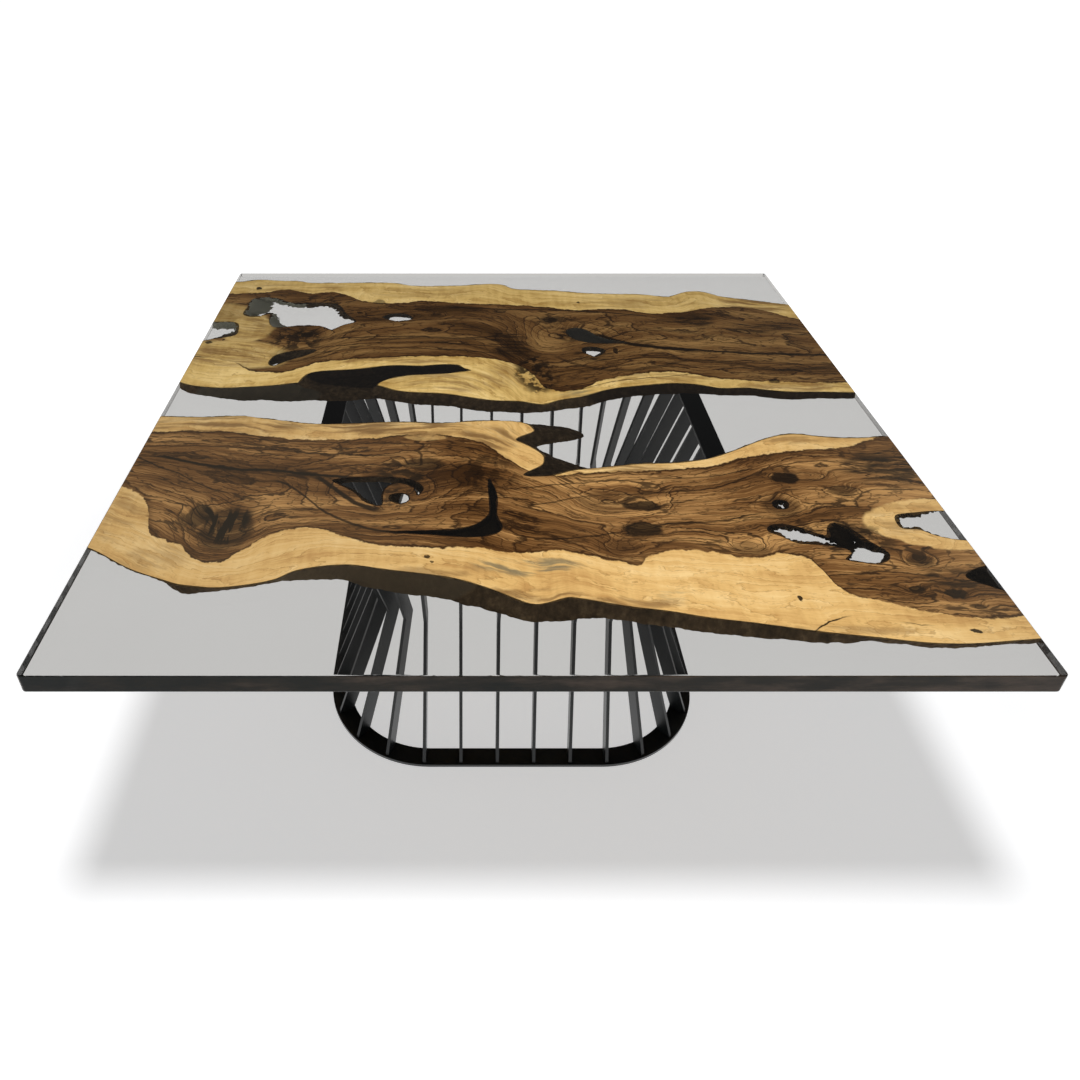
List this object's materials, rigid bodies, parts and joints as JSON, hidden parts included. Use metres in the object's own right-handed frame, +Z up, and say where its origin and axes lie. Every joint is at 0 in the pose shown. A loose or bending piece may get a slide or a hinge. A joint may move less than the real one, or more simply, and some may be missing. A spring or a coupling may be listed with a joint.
{
  "type": "square dining table",
  "caption": "Square dining table: live-edge wood slabs cast flush in clear resin, on a waisted pedestal of flat black steel ribs between two rounded-square steel rings.",
  "frame": {"origin": "on the floor, under the middle of the top", "axes": "+Z up, +X to the right and +Y to the back as seen by someone in front of the table"},
  "size_m": [1.75, 1.75, 0.76],
  "materials": {
    "wood": "gloss lacquer",
    "resin": "clear gloss",
    "black_steel": "satin",
    "zinc_steel": "satin",
    "brass": "satin"
  },
  "bodies": {
    "root": {"back_slab": "wood", "bottom_ring": "black_steel", "front_slab": "wood", "resin_back_strip": "resin", "resin_front_strip": "resin", "resin_river": "resin", "resin_void_fills": "resin", "rib_01": "black_steel", "rib_02": "black_steel", "rib_03": "black_steel", "rib_04": "black_steel", "rib_05": "black_steel", "rib_06": "black_steel", "rib_07": "black_steel", "rib_08": "black_steel", "rib_09": "black_steel", "rib_10": "black_steel", "rib_11": "black_steel", "rib_12": "black_steel", "rib_13": "black_steel", "rib_14": "black_steel", "rib_15": "black_steel", "rib_16": "black_steel", "rib_17": "black_steel", "rib_18": "black_steel", "rib_19": "black_steel", "rib_20": "black_steel", "rib_21": "black_steel", "rib_22": "black_steel", "rib_23": "black_steel", "rib_24": "black_steel", "rib_25": "black_steel", "rib_26": "black_steel", "rib_27": "black_steel", "rib_28": "black_steel", "rib_29": "black_steel", "rib_30": "black_steel", "rib_31": "black_steel", "rib_32": "black_steel", "rib_33": "black_steel", "rib_34": "black_steel", "rib_35": "black_steel", "rib_36": "black_steel", "ring_inserts": "brass", "ring_screws": "zinc_steel", "ring_washers": "zinc_steel", "top_ring": "black_steel"}
  },
  "joints": []
}
